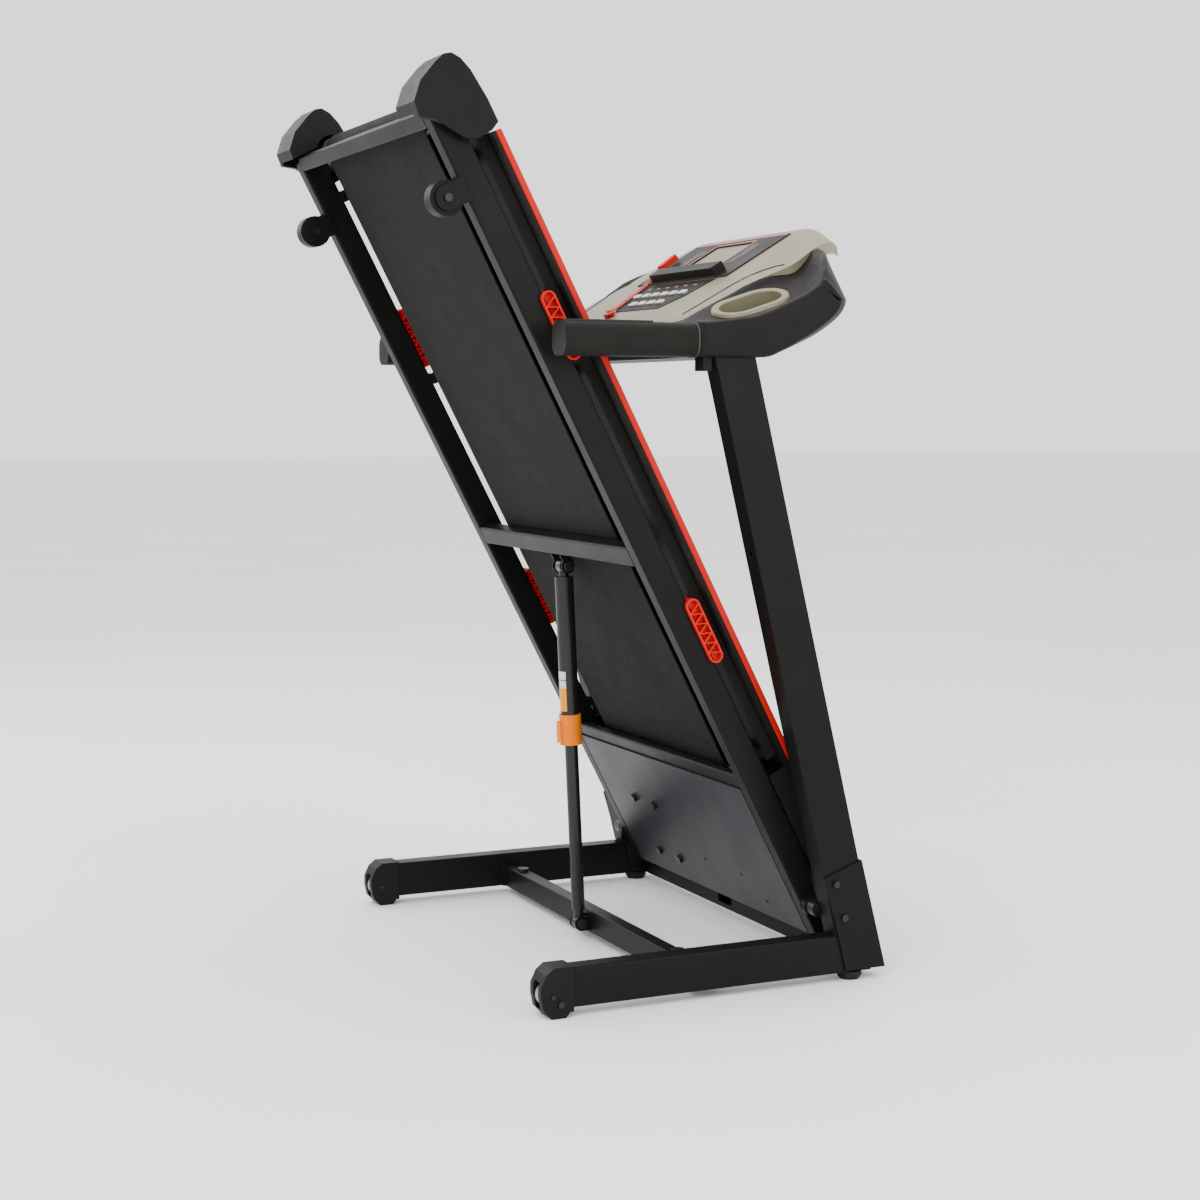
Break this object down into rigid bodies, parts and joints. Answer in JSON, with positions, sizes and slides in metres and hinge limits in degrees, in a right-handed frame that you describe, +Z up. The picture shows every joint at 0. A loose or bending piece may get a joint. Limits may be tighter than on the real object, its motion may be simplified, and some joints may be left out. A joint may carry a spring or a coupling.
{
  "type": "folding treadmill",
  "caption": "Home treadmill with its running deck folded up on a strut between two leaning uprights, console with display, keys, cup holders and hand grips.",
  "frame": {"origin": "On the floor, at the middle of the footprint of the folded machine.", "axes": "+X is the user's right, +Y is forward towards the console, +Z is up."},
  "size_m": [0.75, 0.6892, 1.2591],
  "materials": {
    "frame_steel": "satin near-black powder coat with a faint orange-peel texture",
    "roller_steel": "turned steel with fine lathe marks",
    "bolt_steel": "black-oxide bolts and pins",
    "black_plastic": "fine-grained moulded black plastic",
    "silver_plastic": "warm silver lacquered plastic, satin",
    "grip_foam": "fine-pored black foam grip",
    "foot_rubber": "plain black rubber",
    "red_plastic": "glossy red trim",
    "cushion_rubber": "red elastomer",
    "belt_rubber": "woven underside, dark grey with a mottled weave; ribbed walking face",
    "board_wood": "dark phenolic-faced board",
    "pan_paint": "dark blue-grey powder coat, satin",
    "motor_paint": "grey enamel with cooling ribs",
    "strut_paint": "semi-gloss black tube",
    "collar_plastic": "orange-yellow moulded collar",
    "key_plastic": "silver keys with a soft sheen",
    "display_glass": "grey-pink unlit display window",
    "board_green": "green circuit board",
    "cord_cover": "red braided lanyard cord",
    "wheel_plastic": "grey moulded wheel",
    "wheel_black": "black moulded wheel with a smooth tread"
  },
  "bodies": {
    "base": {"base_rail_left": "frame_steel", "base_rail_right": "frame_steel", "rear_crossbar": "frame_steel", "front_crossbar": "frame_steel", "rail_end_caps": "black_plastic", "base_bolts": "bolt_steel", "rubber_feet": "foot_rubber", "upright_boots": "frame_steel", "upright_left": "frame_steel", "upright_right": "frame_steel", "pivot_pins": "roller_steel", "console_frame": "frame_steel", "handgrip_left": "grip_foam", "handgrip_right": "grip_foam", "console_shell": "black_plastic", "console_fascia": "silver_plastic", "display_bezel": "black_plastic", "lcd_panel": "display_glass", "control_board": "board_green", "cup_holders": "silver_plastic", "key_panel": "black_plastic"},
    "deck": {"deck_rail_left": "frame_steel", "deck_rail_right": "frame_steel", "deck_crossbars": "frame_steel", "mid_crossbar": "frame_steel", "running_board": "board_wood", "running_belt": "belt_rubber", "foot_rail_left": "black_plastic", "foot_rail_right": "black_plastic", "red_trims": "red_plastic", "tail_caps": "black_plastic", "deck_cushions": "cushion_rubber", "deck_bolts": "bolt_steel", "motor_pan": "pan_paint", "motor_hood": "black_plastic", "drive_motor": "motor_paint", "drive_belt": "belt_rubber"},
    "strut_rod": {"strut_lower": "strut_paint"},
    "strut_sleeve": {"strut_upper": "strut_paint", "strut_collar": "collar_plastic"},
    "front_roller_body": {"front_roller": "roller_steel"},
    "rear_roller_body": {"rear_roller": "roller_steel"},
    "rotor": {"motor_rotor": "roller_steel"},
    "base_wheel_left_body": {"base_wheel_left": "wheel_plastic"},
    "base_wheel_right_body": {"base_wheel_right": "wheel_plastic"},
    "deck_wheel_left_body": {"deck_wheel_left": "wheel_black"},
    "deck_wheel_right_body": {"deck_wheel_right": "wheel_black"},
    "safety_plug": {"safety_key": "red_plastic", "lanyard_cord": "cord_cover", "lanyard_clip": "red_plastic"},
    "start_key_body": {"start_key": "key_plastic"},
    "stop_key_body": {"stop_key": "key_plastic"},
    "faster_key_body": {"faster_key": "key_plastic"},
    "slower_key_body": {"slower_key": "key_plastic"},
    "preset_key_1_body": {"preset_key_1": "key_plastic"},
    "preset_key_2_body": {"preset_key_2": "key_plastic"},
    "preset_key_3_body": {"preset_key_3": "key_plastic"},
    "preset_key_4_body": {"preset_key_4": "key_plastic"},
    "preset_key_5_body": {"preset_key_5": "key_plastic"},
    "preset_key_6_body": {"preset_key_6": "key_plastic"}
  },
  "joints": [
    {"name": "deck_fold", "type": "hinge", "parent": "base", "child": "deck", "pos_m": [0, 0.25434, 0.098], "axis": [1, 0, 0], "range_deg": [0, 64.4]},
    {"name": "strut_swing", "type": "hinge", "parent": "base", "child": "strut_rod", "pos_m": [0, 0.02834, 0.027], "axis": [1, 0, 0], "range_deg": [-0.5, 79]},
    {"name": "strut_slide", "type": "slide", "parent": "strut_rod", "child": "strut_sleeve", "axis": [0, -0.0493, 0.9988], "range_m": [-0.23174, 0.0005]},
    {"name": "front_roller_spin", "type": "hinge", "parent": "deck", "child": "front_roller_body", "pos_m": [0, 0.21009, 0.26098], "axis": [1, 0, 0], "continuous": true},
    {"name": "rear_roller_spin", "type": "hinge", "parent": "deck", "child": "rear_roller_body", "pos_m": [0, -0.27521, 1.19323], "axis": [1, 0, 0], "continuous": true},
    {"name": "motor_spin", "type": "hinge", "parent": "deck", "child": "rotor", "pos_m": [0, 0.26951, 0.1555], "axis": [1, 0, 0], "continuous": true},
    {"name": "base_wheel_left_spin", "type": "hinge", "parent": "base", "child": "base_wheel_left_body", "pos_m": [-0.35, -0.17416, 0.03], "axis": [1, 0, 0], "continuous": true},
    {"name": "base_wheel_right_spin", "type": "hinge", "parent": "base", "child": "base_wheel_right_body", "pos_m": [0.35, -0.17416, 0.03], "axis": [1, 0, 0], "continuous": true},
    {"name": "deck_wheel_left_spin", "type": "hinge", "parent": "deck", "child": "deck_wheel_left_body", "pos_m": [-0.2875, -0.29432, 1.07618], "axis": [1, 0, 0], "continuous": true},
    {"name": "deck_wheel_right_spin", "type": "hinge", "parent": "deck", "child": "deck_wheel_right_body", "pos_m": [0.2875, -0.29432, 1.07618], "axis": [1, 0, 0], "continuous": true},
    {"name": "safety_pull", "type": "slide", "parent": "base", "child": "safety_plug", "axis": [0, -0.518, 0.8554], "range_m": [0, 0.04]},
    {"name": "start_key_press", "type": "slide", "parent": "base", "child": "start_key_body", "axis": [0, 0.518, -0.8554], "range_m": [0, 0.0012], "stiffness_N_per_m": 400, "springref_m": -0.0008},
    {"name": "stop_key_press", "type": "slide", "parent": "base", "child": "stop_key_body", "axis": [0, 0.518, -0.8554], "range_m": [0, 0.0012], "stiffness_N_per_m": 400, "springref_m": -0.0008},
    {"name": "faster_key_press", "type": "slide", "parent": "base", "child": "faster_key_body", "axis": [0, 0.518, -0.8554], "range_m": [0, 0.0012], "stiffness_N_per_m": 400, "springref_m": -0.0008},
    {"name": "slower_key_press", "type": "slide", "parent": "base", "child": "slower_key_body", "axis": [0, 0.518, -0.8554], "range_m": [0, 0.0012], "stiffness_N_per_m": 400, "springref_m": -0.0008},
    {"name": "preset_key_1_press", "type": "slide", "parent": "base", "child": "preset_key_1_body", "axis": [0, 0.518, -0.8554], "range_m": [0, 0.0012], "stiffness_N_per_m": 400, "springref_m": -0.0008},
    {"name": "preset_key_2_press", "type": "slide", "parent": "base", "child": "preset_key_2_body", "axis": [0, 0.518, -0.8554], "range_m": [0, 0.0012], "stiffness_N_per_m": 400, "springref_m": -0.0008},
    {"name": "preset_key_3_press", "type": "slide", "parent": "base", "child": "preset_key_3_body", "axis": [0, 0.518, -0.8554], "range_m": [0, 0.0012], "stiffness_N_per_m": 400, "springref_m": -0.0008},
    {"name": "preset_key_4_press", "type": "slide", "parent": "base", "child": "preset_key_4_body", "axis": [0, 0.518, -0.8554], "range_m": [0, 0.0012], "stiffness_N_per_m": 400, "springref_m": -0.0008},
    {"name": "preset_key_5_press", "type": "slide", "parent": "base", "child": "preset_key_5_body", "axis": [0, 0.518, -0.8554], "range_m": [0, 0.0012], "stiffness_N_per_m": 400, "springref_m": -0.0008},
    {"name": "preset_key_6_press", "type": "slide", "parent": "base", "child": "preset_key_6_body", "axis": [0, 0.518, -0.8554], "range_m": [0, 0.0012], "stiffness_N_per_m": 400, "springref_m": -0.0008}
  ],
  "couplings": [
    {"joint": "strut_swing", "follows": "deck_fold", "ratio": 1.2189},
    {"joint": "strut_slide", "follows": "deck_fold", "m_per_rad": -0.20573},
    {"joint": "rear_roller_spin", "follows": "front_roller_spin", "ratio": 1},
    {"joint": "motor_spin", "follows": "front_roller_spin", "ratio": 2}
  ]
}
